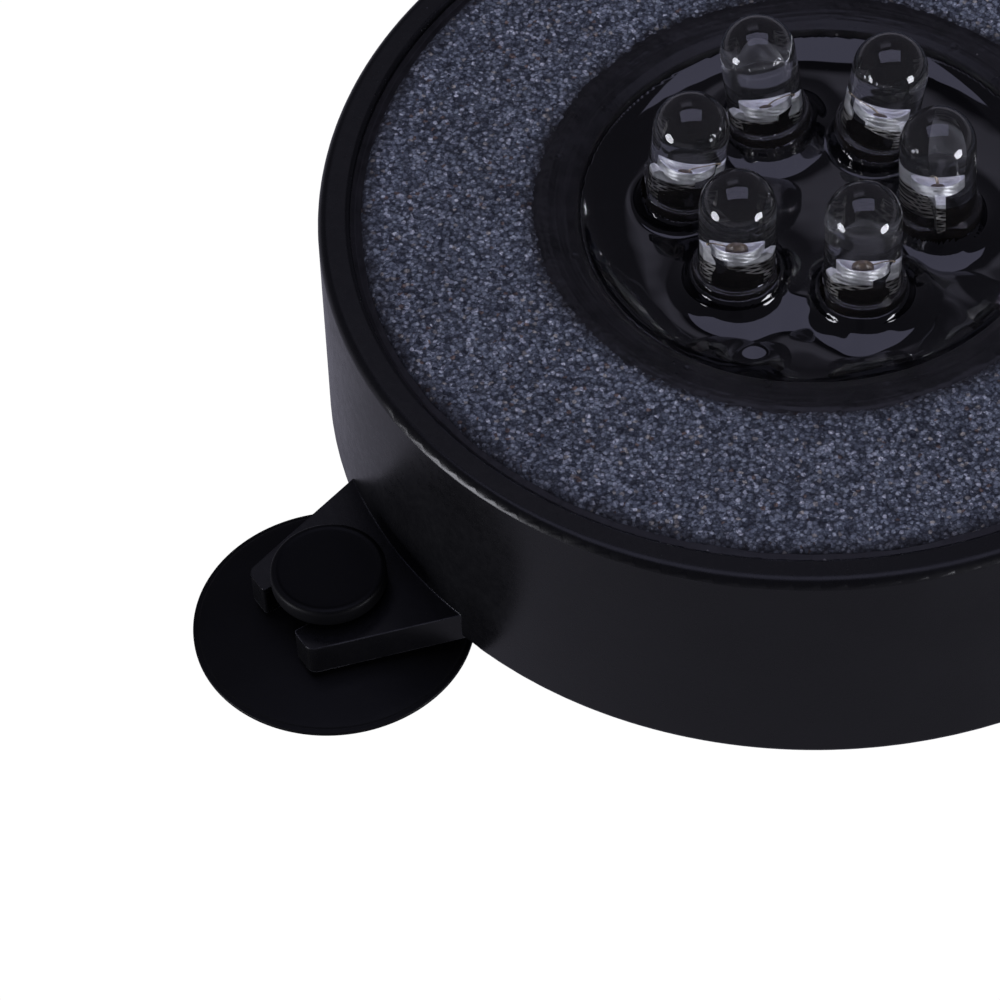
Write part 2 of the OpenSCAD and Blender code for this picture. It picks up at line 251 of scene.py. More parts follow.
def rubber(name, tone=0.0024, rough=0.44, spec=0.10, dust=0.12, bevel_mm=0.0, wear_and_sheen=0.5):
    m = Mat(name)
    m.set(Specular_IOR_Level=spec)
    cloud = m.noise(4, 4)
    base = m.ramp(cloud, [(0.3, (tone * 0.8, tone * 0.8, tone * 0.9)), (0.75, (tone * 1.35, tone * 1.35, tone * 1.6))])
    dots = specks(m, 1.6, 0.07, dust)
    col, n0 = m.mix(dots, base, (0.09, 0.09, 0.1)), None
    if bevel_mm:
        n0, rub_and_sheen = edge_wear_and_sheen(m, bevel_mm)
        # painted highlight: the pale edge colour is partly rubbed wear and partly a painted highlight along the edge
        col = m.mix(m.math("MULTIPLY", rub_and_sheen, wear_and_sheen), col, (0.13, 0.13, 0.15))
    m.l(col, m.b.inputs["Base Color"])
    m.l(m.span(cloud, 0.3, 0.75, rough - 0.06, rough + 0.08), m.b.inputs["Roughness"])
    n1 = m.bump(m.noise(0.3, 3), 0.010, 0.6, n0)
    m.l(m.bump(m.noise(2.2, 2), 0.03, 0.5, n1), m.b.inputs["Normal"])
    return m.m


def grit_material():
    m = Mat("grit_look")
    m.set(Specular_IOR_Level=0.28)
    # every grain has its own tone: mostly slate blue, some pale, a few brown or white
    v = m.voronoi(0.27)
    pick = m.n("ShaderNodeSeparateColor")
    m.l(v.outputs["Color"], pick.inputs[0])
    tone = m.ramp(pick.outputs[0], [
        (0.0, (0.060, 0.068, 0.082)), (0.25, (0.124, 0.144, 0.166)), (0.55, (0.208, 0.238, 0.266)),
        (0.8, (0.305, 0.345, 0.375)), (0.94, (0.45, 0.49, 0.52)), (1.0, (0.70, 0.73, 0.74))])
    rust = m.math("GREATER_THAN", pick.outputs[1], 0.982)
    tone = m.mix(rust, tone, (0.22, 0.165, 0.135))
    sand = m.math("GREATER_THAN", pick.outputs[2], 0.975)
    tone = m.mix(sand, tone, (0.42, 0.40, 0.34))
    # a second, finer population between them
    w = m.voronoi(0.16)
    pick2 = m.n("ShaderNodeSeparateColor")
    m.l(w.outputs["Color"], pick2.inputs[0])
    fine = m.ramp(pick2.outputs[0], [(0.0, (0.40, 0.40, 0.43)), (0.6, (0.98, 0.98, 1.0)), (1.0, (1.65, 1.63, 1.56))])
    col = m.mix(1.0, tone, fine, "MULTIPLY")
    # darker towards the edge of each grain's cell, in the gaps between grains
    gap = m.span(v.outputs["Distance"], 0.45, 0.75, 0.0, 0.7)
    col = m.mix(gap, col, (0.022, 0.025, 0.030))
    cloud = m.noise(7, 4)
    col = m.mix(1.0, col, m.ramp(cloud, [(0.3, (0.86, 0.86, 0.86)), (0.7, (1.14, 1.14, 1.14))]), "MULTIPLY")
    # grains that have drawn up sealant along both edges are dark and a little brown
    length = m.n("ShaderNodeVectorMath", operation="LENGTH")
    flat = m.n("ShaderNodeMapping")
    flat.inputs["Scale"].default_value = (1000, 1000, 0)
    m.l(m.co, flat.inputs["Vector"])
    m.l(flat.outputs[0], length.inputs[0])
    ragged = m.math("ADD", m.math("MULTIPLY", m.noise(1.3, 5), 1.5), m.math("MULTIPLY", pick.outputs[1], 0.5))
    r_in = m.math("SUBTRACT", length.outputs["Value"], ragged)
    wet_in = m.span(r_in, 17.15, 18.35, 0.90, 0.0)
    r_out = m.math("ADD", length.outputs["Value"], ragged)
    wet_out = m.span(r_out, 29.35, 30.75, 0.0, 0.84)
    col = m.mix(wet_in, col, (0.017, 0.0145, 0.0125))
    col = m.mix(wet_out, col, (0.020, 0.0185, 0.0175))
    m.l(col, m.b.inputs["Base Color"])
    m.l(m.span(pick.outputs[1], 0, 1, 0.5, 0.95), m.b.inputs["Roughness"])
    h = m.math("ADD", m.math("MULTIPLY", m.span(v.outputs["Distance"], 0, 0.8, 1, 0), m.span(pick.outputs[2], 0, 1, 0.4, 1.0)),
               m.math("MULTIPLY", m.span(w.outputs["Distance"], 0, 0.8, 1, 0), 0.35))
    m.l(m.bump(h, 0.10, 0.8), m.b.inputs["Normal"])
    return m.m


def epoxy_material(name, rough=0.30, tone=0.0032, bits=0.07):
    m = Mat(name)
    m.set(Specular_IOR_Level=0.24)
    cloud = m.noise(1.7, 5)
    base = m.ramp(cloud, [(0.35, (tone * 0.7, tone * 0.68, tone * 0.72)), (0.7, (tone * 1.6, tone * 1.5, tone * 1.6))])
    dots = specks(m, 0.8, 0.12, bits)
    m.l(m.mix(dots, base, (0.15, 0.145, 0.14)), m.b.inputs["Base Color"])
    m.l(m.span(cloud, 0.3, 0.7, rough - 0.08, rough + 0.12), m.b.inputs["Roughness"])
    n1 = m.bump(m.noise(0.35, 4), 0.03, 0.5)
    m.l(m.bump(dots, 0.05, 1.0, n1), m.b.inputs["Normal"])
    return m.m


def resin_material():
    m = Mat("resin_look")
    m.set(Specular_IOR_Level=0.5, IOR=1.52)
    cloud = m.noise(5, 3)
    m.l(m.ramp(cloud, [(0.3, (0.0012, 0.0012, 0.0016)), (0.7, (0.0022, 0.0022, 0.0028))]), m.b.inputs["Base Color"])
    m.l(m.span(m.noise(2.5, 3), 0.3, 0.7, 0.03, 0.05), m.b.inputs["Roughness"])
    dots = specks(m, 2.3, 0.03, 0.3)
    m.l(m.bump(dots, 0.02, 1.0), m.b.inputs["Normal"])
    return m.m


def bed_material():
    """Resin wetted to the underside of an LED: no surface of its own to shine."""
    m = Mat("resin_bed_look")
    m.set(Specular_IOR_Level=0.0, Roughness=0.9)
    cloud = m.noise(1.1, 4)
    m.l(m.ramp(cloud, [(0.35, (0.0020, 0.0016, 0.0013)), (0.7, (0.0065, 0.0050, 0.0036))]), m.b.inputs["Base Color"])
    m.l(m.bump(m.noise(0.5, 3), 0.02, 0.5), m.b.inputs["Normal"])
    return m.m


def lens_material():
    m = Mat("lens_look")
    m.set(Base_Color=(0.97, 0.975, 0.985, 1), Transmission_Weight=0.993, IOR=1.53)   # clear, with a trace of haze
    m.l(m.span(m.noise(1.1, 3), 0.3, 0.7, 0.0, 0.03), m.b.inputs["Roughness"])
    m.l(m.bump(m.noise(1.6, 2), 0.004, 0.4), m.b.inputs["Normal"])
    lp = m.n("ShaderNodeLightPath")
    clear = m.n("ShaderNodeBsdfTransparent")
    clear.inputs[0].default_value = (0.92, 0.93, 0.94, 1)
    mixed = m.n("ShaderNodeMixShader")
    m.l(lp.outputs["Is Shadow Ray"], mixed.inputs[0])
    m.l(m.b.outputs[0], mixed.inputs[1])
    m.l(clear.outputs[0], mixed.inputs[2])
    m.l(mixed.outputs[0], m.out.inputs[0])
    return m.m


def metal(name, colour, rough, cloud_mm=1.0, metallic=1.0):
    m = Mat(name)
    m.set(Metallic=metallic)
    cloud = m.noise(cloud_mm, 4)
    c = colour
    m.l(m.ramp(cloud, [(0.3, tuple(v * 0.72 for v in c)), (0.7, c)]), m.b.inputs["Base Color"])
    m.l(m.span(cloud, 0.3, 0.7, rough - 0.08, rough + 0.1), m.b.inputs["Roughness"])
    m.l(m.bump(m.noise(0.12, 3), 0.008, 0.6), m.b.inputs["Normal"])
    return m.m


def lead_material(name, painted_shade_below_mm):
    """Stamped lead frame: silver at its top; lower down it is painted dull dark brown, a painted shade for the part the
    light through the lens does not reach, with fine roll marks.
    """
    m = Mat(name)
    m.set(Metallic=0.9)
    cloud = m.noise(0.45, 4)
    z = m.math("MULTIPLY", m.xyz()[2], 1000.0)
    z = m.math("ADD", z, m.math("MULTIPLY", cloud, 0.35))
    # painted shade: below this height the lead is painted dark, standing in for the part the light through the lens
    # leaves unlit
    top = m.span(z, painted_shade_below_mm + 0.12, painted_shade_below_mm + 0.24, 0, 1)
    bands = []
    for turn, scale in ((0.55, 2300.0), (-0.75, 2100.0)):
        wave = m.n("ShaderNodeTexWave", wave_type="BANDS", bands_direction="Z", wave_profile="SIN")
        wave.inputs["Scale"].default_value = scale * 0.5
        wave.inputs["Distortion"].default_value = 0.8
        wave.inputs["Detail Scale"].default_value = 1.0
        m.l(m.stretch(1, 1, 1, (turn, turn * 0.6, 0)), wave.inputs["Vector"])
        bands.append(wave.outputs["Fac"])
    lines = m.span(m.math("MAXIMUM", bands[0], m.math("MULTIPLY", bands[1], 0.85)), 0.50, 0.80, 0, 1)
    patchy = m.span(m.noise(0.8, 3), 0.42, 0.60, 0.15, 1.0)
    # the painted shade: dark brown with fine pale lines, in place of the silver
    low = m.mix(m.math("MULTIPLY", lines, patchy), (0.022, 0.018, 0.014), (0.62, 0.60, 0.57))
    high = m.ramp(cloud, [(0.3, (0.66, 0.66, 0.66)), (0.6, (0.95, 0.95, 0.95))])
    m.l(m.mix(top, low, high), m.b.inputs["Base Color"])
    m.l(m.span(cloud, 0.3, 0.7, 0.34, 0.55), m.b.inputs["Roughness"])
    n = m.bump(m.noise(0.12, 3), 0.012, 0.7)
    m.l(m.bump(bands[0], 0.02, 0.6, n), m.b.inputs["Normal"])
    return m.m


def dielectric(name, colour, rough, size_mm=0.8, var=0.25, spec=0.5, bump_mm=0.02):
    m = Mat(name)
    m.set(Specular_IOR_Level=spec)
    cloud = m.noise(size_mm, 4)
    m.l(m.ramp(cloud, [(0.3, tuple(v * (1 - var) for v in colour)), (0.7, tuple(min(1, v * (1 + var)) for v in colour))]), m.b.inputs["Base Color"])
    m.l(m.span(cloud, 0.3, 0.7, rough - 0.06, rough + 0.08), m.b.inputs["Roughness"])
    m.l(m.bump(m.noise(size_mm * 0.4, 3), bump_mm, 0.5), m.b.inputs["Normal"])
    return m.m


def board_material():
    m = Mat("board_look")
    m.set(Specular_IOR_Level=0.5)
    v = m.voronoi(3.1, "DISTANCE_TO_EDGE")
    tracks = m.math("LESS_THAN", v.outputs["Distance"], 0.09)
    weave = m.noise(0.35, 2)
    base = m.ramp(weave, [(0.3, (0.010, 0.085, 0.038)), (0.7, (0.018, 0.13, 0.06))])
    m.l(m.mix(tracks, base, (0.03, 0.20, 0.10)), m.b.inputs["Base Color"])
    m.l(m.span(weave, 0.3, 0.7, 0.25, 0.4), m.b.inputs["Roughness"])
    m.l(m.bump(tracks, 0.03, 0.8), m.b.inputs["Normal"])
    return m.m


def give(name, material):
    o = nodes[name]
    o.data.materials.clear()
    o.data.materials.append(material)
    for p in o.data.polygons:
        p.material_index = 0


# ------------------------------------------------------------------ mesh helpers
def build(name, verts_mm, faces, material, body, replaced=(), smooth=True, sharp=None):
    me = bpy.data.meshes.new(name)
    v = np.asarray(verts_mm, float) * MM
    me.from_pydata([tuple(p) for p in v], [], [tuple(int(i) for i in f) for f in faces])
    me.validate()
    me.update()
    o = bpy.data.objects.new(name, me)
    bpy.context.scene.collection.objects.link(o)
    me.materials.append(material)
    me.polygons.foreach_set("use_smooth", [smooth] * len(me.polygons))
    if sharp:
        me.set_sharp_from_angle(angle=math.radians(sharp))
    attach(o, body)
    if replaced:
        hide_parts(*replaced)
    return o


def ring_faces(rings, count, closed=True, flip=False):
    """Quads of a surface of rings * count points, closed round, and over the last ring to the first if closed."""
    i = np.arange(rings if closed else rings - 1)[:, None]
    j = np.arange(count)[None, :]
    a = i * count + j
    b = i * count + (j + 1) % count
    c = ((i + 1) % rings) * count + (j + 1) % count
    d = ((i + 1) % rings) * count + j
    q = np.stack([a, b, c, d], -1).reshape(-1, 4)
    return q[:, ::-1] if flip else q


def wobble(a, seed, low=2, high=9, power=1.0):
    """Smooth closed noise round an azimuth, about -1 to 1."""
    rng = np.random.default_rng(seed)
    out = np.zeros_like(a)
    total = 0.0
    for k in range(low, high + 1):
        amp = rng.uniform(0.5, 1.0) / k ** power
        out = out + amp * np.sin(k * a + rng.uniform(0, 2 * math.pi))
        total += amp * amp * 0.5
    return out / (2.0 * math.sqrt(total))


def lattice(x, y, z, seed):
    """Value noise on a unit lattice, -1 to 1."""
    def h(i, j, k):
        n = (i * 73856093) ^ (j * 19349663) ^ (k * 83492791) ^ (seed * 2654435761)
        n = (n ^ (n >> 13)) * 1274126177
        n = n & 0x7FFFFFFF
        return ((n ^ (n >> 15)) & 0xFFFFF) / 0xFFFFF * 2 - 1
    xi, yi, zi = np.floor(x).astype(np.int64), np.floor(y).astype(np.int64), np.floor(z).astype(np.int64)
    fx, fy, fz = x - xi, y - yi, z - zi
    fx, fy, fz = (f * f * (3 - 2 * f) for f in (fx, fy, fz))
    out = 0
    for dx in (0, 1):
        for dy in (0, 1):
            for dz in (0, 1):
                w = (fx if dx else 1 - fx) * (fy if dy else 1 - fy) * (fz if dz else 1 - fz)
                out = out + w * h(xi + dx, yi + dy, zi + dz)
    return out


def cells(x, y, size, seed):
    """Distance to the nearest jittered cell centre, in cell sizes, and that cell's random number."""
    gx, gy = x / size, y / size
    ix, iy = np.floor(gx).astype(np.int64), np.floor(gy).astype(np.int64)
    best = np.full(x.shape, 9.0)
    val = np.zeros(x.shape)

    def h(i, j, s):
        n = (i * 374761393 + j * 668265263 + s * 974634777) & 0xFFFFFFFF
        n = ((n ^ (n >> 13)) * 1274126177) & 0xFFFFFFFF
        return ((n ^ (n >> 16)) & 0xFFFFF) / 0xFFFFF
    for dx in (-1, 0, 1):
        for dy in (-1, 0, 1):
            cx, cy = ix + dx, iy + dy
            px, py = cx + h(cx, cy, seed), cy + h(cx, cy, seed + 1)
            d = np.hypot(gx - px, gy - py)
            near = d < best
            best = np.where(near, d, best)
            val = np.where(near, h(cx, cy, seed + 2), val)
    return best, val


# ------------------------------------------------------------------ LEDs: the CAD's own places
FOOT = 15.8
LEDS = []
for i, (turn, out, lean, az, spin) in enumerate(zip(
        [1, 5, -1, -3, -4, -1], [0, -0.3, 0.3, 0.8, -0.2, 0], [2, 9, 5, 8, 2, 4],
        [150, 30, 230, 25, 70, 130], [2, 170, 192, 37, 172, 292])):
    a, r = math.radians(50 + 60 * i + turn), 8 + out
    place = (Matrix.Translation((r * math.cos(a), r * math.sin(a), FOOT))
             @ Matrix.Rotation(math.radians(az), 4, "Z") @ Matrix.Rotation(math.radians(lean), 4, "Y")
             @ Matrix.Rotation(math.radians(spin), 4, "Z"))
    LEDS.append(place)
DROP = [0.3, 0.9, 1.6, 0.5, 0.6, 1.1]
# how each foot sits in its mound: radius and slope of the steepest point, radius where the slope
# is 30 degrees, length over which it then dies away, height of the broad swell under it
MOUNDS = [(3.06, 2.2, 3.18, 1.02, 0.25), (3.06, 3.8, 3.30, 0.16, 0.22), (3.06, 3.0, 3.22, 1.20, 0.05),
          (3.06, 3.8, 3.30, 0.16, 0.22), (3.18, 2.4, 3.76, 1.14, 0.0), (3.18, 2.4, 3.54, 1.30, 0.0)]


def mound_profile(rp, sp, r30, lam, swell):
    """Height of the resin round an LED against distance from its foot's centre."""
    d = np.linspace(0, 14, 1401)
    s = 0.577 * np.exp(-(np.maximum(d - r30, 0) / lam) ** 1.5)
    mid = (d >= rp) & (d < r30)
    s[mid] = np.exp(np.interp(d[mid], [rp, r30], [math.log(sp), math.log(0.577)]))
    t = np.clip((d - 2.84) / (rp - 2.84), 0, 1)
    s = np.where(d < rp, sp * t * t * (3 - 2 * t), s)
    k = np.ones(5) / 5
    s = np.convolve(np.pad(s, 2, mode="edge"), k, mode="valid")
    h = np.concatenate([[0], np.cumsum((s[1:] + s[:-1]) / 2 * (d[1] - d[0]))])
    return d, h[-1] - h + swell * np.exp(-(d / 4.3) ** 2)


def lathe_points(profile, count):
    p = np.asarray(profile, float)
    a = np.linspace(0, 2 * math.pi, count, endpoint=False)
    return np.stack([p[:, None, 0] * np.cos(a), p[:, None, 0] * np.sin(a),
                     np.repeat(p[:, 1][:, None], count, 1)], -1)


def make_lens(i, material):
    prof = [(0.02, 0.0), (1.0, 0.0), (2.0, 0.0), (2.72, 0.0)]
    for k in range(7):                                   # lower edge of the flange
        t = math.radians(-90 + 90 * k / 6)
        prof.append((2.75 + 0.15 * math.cos(t), 0.15 + 0.15 * math.sin(t)))
    prof += [(2.9, 0.35), (2.9, 0.6)]
    for k in range(7):                                   # upper edge of the flange
        t = math.radians(90 * k / 6)
        prof.append((2.76 + 0.14 * math.cos(t), 0.86 + 0.14 * math.sin(t)))
    for k in range(6):                                   # fillet into the body
        t = math.radians(270 - 90 * k / 5)
        prof.append((2.66 + 0.14 * math.cos(t), 1.14 + 0.14 * math.sin(t)))
    for z in np.linspace(1.4, 6.1, 14):
        prof.append((2.52 - 0.02 * (z - 1.4) / 4.7, z))
    for k in range(33):
        t = math.radians(90 * k / 32)
        prof.append((max(2.5 * math.cos(t), 0.02), 6.3 + 2.5 * math.sin(t)))
    count = 128
    pts = lathe_points(prof, count)
    flat = (pts[..., 2] < 1.02) & (pts[..., 0] < -2.52)
    pts[..., 0] = np.where(flat, -2.52, pts[..., 0])     # flat beside the cathode
    rings = len(prof)
    v = pts.reshape(-1, 3)
    f = [tuple(q) for q in ring_faces(rings, count, closed=False)]
    v = np.concatenate([v, [[0, 0, 0], [0, 0, 8.8]]])
    n = rings * count
    for j in range(count):
        f.append((n, (j + 1) % count, j))
        f.append((n + 1, (rings - 1) * count + j, (rings - 1) * count + (j + 1) % count))
    m = np.array(LEDS[i])
    v = v @ m[:3, :3].T + m[:3, 3]
    return build(f"led_body_{i + 1}", v, f, material, "base", [f"led_lens_{i + 1}"], sharp=50)


def make_fills(material):
    """A drop of dark amber compound over each die, on the floor of its reflector cup."""
    prof = [(0.02, 3.80), (0.20, 3.80), (0.34, 3.80), (0.37, 3.9)]
    for k in range(9):
        t = math.radians(90 * k / 8)
        prof.append((max(0.38 * math.cos(t), 0.02), 4.15 + 0.72 * math.sin(t)))
    count, verts, faces = 40, [], []
    for i, (m, drop) in enumerate(zip(LEDS, DROP)):
        part = np.array(prof)
        top = 4.87
        if i < 4:                                        # a smaller drop, down inside its cup
            part[:, 0] = part[:, 0] * 0.62
            part[:, 1] = 3.8 + (part[:, 1] - 3.8) * 0.36
            top = 3.8 + (4.87 - 3.8) * 0.36
        pts = lathe_points(part, count).reshape(-1, 3) - np.array([0, 0, drop])
        n0 = len(verts)
        mm = np.array(m)
        pts = np.concatenate([pts, [[0, 0, 3.8 - drop], [0, 0, top - drop]]]) @ mm[:3, :3].T + mm[:3, 3]
        verts.extend(map(tuple, pts))
        faces.extend(tuple(q + n0) for q in ring_faces(len(prof), count, closed=False))
        n = len(prof) * count
        for j in range(count):
            faces.append((n0 + n, n0 + (j + 1) % count, n0 + j))
            faces.append((n0 + n + 1, n0 + n - count + j, n0 + n - count + (j + 1) % count))
    return build("die_compound", verts, faces, material, "base", ["led_dies"], sharp=60)


# ------------------------------------------------------------------ resin in the well
RESIN_Z = 14.62


def ripple(x, y, size, seed, waves=7):
    """Smooth unevenness: a few crossing sine waves, about -1 to 1."""
    rng = np.random.default_rng(seed)
    out = np.zeros_like(x)
    for _ in range(waves):
        t, p, k = rng.uniform(0, 2 * math.pi), rng.uniform(0, 2 * math.pi), rng.uniform(0.6, 1.4) / size
        out = out + np.sin(2 * math.pi * k * (x * math.cos(t) + y * math.sin(t)) + p)
    return out / math.sqrt(waves)


def resin_height(x, y):
    r = np.hypot(x, y)
    a = np.arctan2(y, x)
    z = np.full(x.shape, RESIN_Z)
    # drawn up at the wall, unevenly
    wall = 1.12 + 0.10 * wobble(a, 5, 2, 8, 1.4)
    back = np.clip((-np.sin(TURN) * x + np.cos(TURN) * y) / np.maximum(r, 1e-6), 0, 1)
    lam = 1.28 + 0.47 * np.minimum(back * 1.3, 1) + 0.12 * wobble(a, 6, 1, 5)
    z = z + wall * np.exp(-(15.35 - np.minimum(r, 15.9)) / lam)
    # mounds
    for m, shape in zip(LEDS, MOUNDS):
        d, h = mound_profile(*shape)
        dx, dy = x - m.translation.x, y - m.translation.y
        aa = np.arctan2(dy, dx)
        seed = int(abs(math.degrees(math.atan2(m.translation.y, m.translation.x)))) + 3
        dist = np.hypot(dx, dy)
        dist = dist - 0.10 * wobble(aa, seed, 1, 3) * np.clip((dist - 3.0) / 0.6, 0, 1)
        z = z + np.interp(dist, d, h)
    # a dimple with a faint ring round it, left by a bubble
    u = np.cos(TURN) * x + np.sin(TURN) * y
    w = -np.sin(TURN) * x + np.cos(TURN) * y
    q = np.hypot((u + 5.15) / 1.5, (w + 12.1) / np.where(w > -12.1, 0.92, 1.5))
    z = z - 0.36 * np.exp(-q ** 2)
    # a flat blister further right
    q = np.hypot(u + 1.6, w + 12.6)
    z = z + 0.020 * np.exp(-(q / 0.8) ** 2)
    # a run of resin that pulls the nearest mound towards the front
    z = z + 0.20 / (1 + np.exp(-(w + 12.15) / 0.26)) * np.exp(-((u - 1.7) / 1.0) ** 2) * np.exp(-(np.maximum(w + 12.0, 0) / 2.4) ** 2)
    # webs drawn up between neighbouring mounds
    for cu, cw, su, sw, h in ((0.55, 8.3, 1.0, 1.9, 0.50), (-1.95, -7.7, 1.15, 1.40, 0.38)):
        z = z + h * np.exp(-((u - cu) / su) ** 2 - ((w - cw) / sw) ** 2)
    # slow unevenness of the skin
    z = z + 0.010 * ripple(x, y, 7.0, 3) + 0.0016 * ripple(x, y, 2.2, 4)
    # faint drag marks towards the wall on the right
    deg = np.degrees(np.arctan2(w, u))
    along = np.exp(-((deg + 40) / 15) ** 2) * np.clip((r - 10.0) / 2.5, 0, 1) * np.clip((15.2 - r) / 1.5, 0, 1)
    z = z + along * (0.014 * np.sin(deg * 0.75 + 0.5 * r) + 0.010 * np.sin(deg * 0.41 + 1.0))
    return z


def make_resin(material, bed):
    step = 0.13
    half = 15.62
    n = int(math.ceil(half / step))
    # square grid clipped to a disc: even spacing, so slopes round the LEDs stay smooth
    g = np.arange(-n, n + 1) * step
    x, y = np.meshgrid(g, g, indexing="xy")
    inside = np.hypot(x, y) <= half - 0.5 * step
    index = -np.ones(x.shape, int)
    index[inside] = np.arange(inside.sum())
    a, b = index[:-1, :-1], index[:-1, 1:]
    c, d = index[1:, 1:], index[1:, :-1]
    ok = (a >= 0) & (b >= 0) & (c >= 0) & (d >= 0)
    quads = np.stack([a[ok], b[ok], c[ok], d[ok]], -1)
    vx, vy = x[inside], y[inside]
    vz = resin_height(vx, vy)
    # inside a flange the skin follows the foot, just above the lens's underside
    for m in LEDS:
        inv = m.inverted()
        p = np.stack([vx, vy, np.full(vx.shape, FOOT)], -1) - np.array(m.translation)
        up = np.array(m.to_3x3().col[2])
        foot = FOOT - (p[:, 0] * up[0] + p[:, 1] * up[1]) / up[2]
        dist = np.hypot(p[:, 0], p[:, 1])
        t = np.clip((dist - 2.70) / 0.16, 0, 1)
        t = t * t * (3 - 2 * t)
        vz = np.where(dist < 2.88, (foot + 0.14) * (1 - t) + vz * t, vz)
    top = np.stack([vx, vy, vz], -1)
    # boundary edges of the top, then a skirt and a base
    edges = {}
    for q in quads:
        for k in range(4):
            e = (int(q[k]), int(q[(k + 1) % 4]))
            if (e[1], e[0]) in edges:
                del edges[(e[1], e[0])]
            else:
                edges[e] = True
    nxt = {e[0]: e[1] for e in edges}
    start = next(iter(nxt))
    loop = [start]
    while nxt[loop[-1]] != start:
        loop.append(nxt[loop[-1]])
    used = np.zeros(len(top), bool)
    used[quads.reshape(-1)] = True
    remap = -np.ones(len(top), int)
    remap[used] = np.arange(used.sum())
    verts = list(map(tuple, top[used]))
    faces = [tuple(remap[q]) for q in quads]
    loop = [int(remap[k]) for k in loop]
    # the edge ring is drawn onto a true circle inside the seal
    for k in loop:
        px, py, pz = verts[k]
        rr = math.hypot(px, py)
        verts[k] = (px / rr * 15.6, py / rr * 15.6, 15.2)
    low = len(verts)
    for k in loop:
        px, py, _ = verts[k]
        rr = math.hypot(px, py)
        verts.append((px / rr * 15.44, py / rr * 15.44, 14.3))
    low2 = len(verts)
    for k in loop:
        px, py, _ = verts[k]
        rr = math.hypot(px, py)
        verts.append((px / rr * 15.44, py / rr * 15.44, 9.83))
    centre = len(verts)
    verts.append((0, 0, 9.83))
    m = len(loop)
    for j in range(m):
        a0, a1 = loop[j], loop[(j + 1) % m]
        b0, b1 = low + j, low + (j + 1) % m
        c0, c1 = low2 + j, low2 + (j + 1) % m
        faces.append((a1, a0, b0, b1))
        faces.append((b1, b0, c0, c1))
        faces.append((c1, c0, centre))
    pool = build("resin_pool", verts, faces, material, "base", ["potting"])
    pool.data.materials.append(bed)
    for p in pool.data.polygons:
        c = p.center / MM
        if c.z > 12 and any(math.hypot(c.x - m.translation.x, c.y - m.translation.y) < 2.74 for m in LEDS):
            p.material_index = 1
    return pool


# ------------------------------------------------------------------ bonded grit ring
def make_grit(material):
    r0, r1, top, low = 17.92, 29.8, 16.4, 10.42
    count = 980
    radii = np.arange(r0, r1 + 0.001, (r1 - r0) / 78)
    a = np.linspace(0, 2 * math.pi, count, endpoint=False)
    rr, aa = np.meshgrid(radii, a, indexing="ij")
    aa = aa + (np.arange(len(radii)) % 2)[:, None] * (math.pi / count)
    x, y = rr * np.cos(aa), rr * np.sin(aa)
    d, val = cells(x, y, 0.30, 11)
    z = top + 0.045 * (0.75 - d) + 0.045 * (val - 0.5) + 0.03 * lattice(x / 1.6, y / 1.6, 0 * x, 9)
    edge = np.minimum(rr - r0, r1 - rr)
    z = z - 0.28 * np.exp(-(edge / 0.16) ** 2) - 0.05 * np.exp(-edge / 0.6)
    z = np.minimum(z, 16.47)
    topv = np.stack([x, y, z], -1)
    rings = [topv]
    for r, zz in ((r1, 15.6), (r1, low), (r0, low), (r0, 15.6)):
        p = np.stack([r * np.cos(aa[0]), r * np.sin(aa[0]), np.full(count, zz)], -1)
        rings.append(p[None])
    v = np.concatenate(rings)
    f = ring_faces(v.shape[0], count, closed=True, flip=True)
    return build("grit_ring", v.reshape(-1, 3), f, material, "base", ["air_stone"])


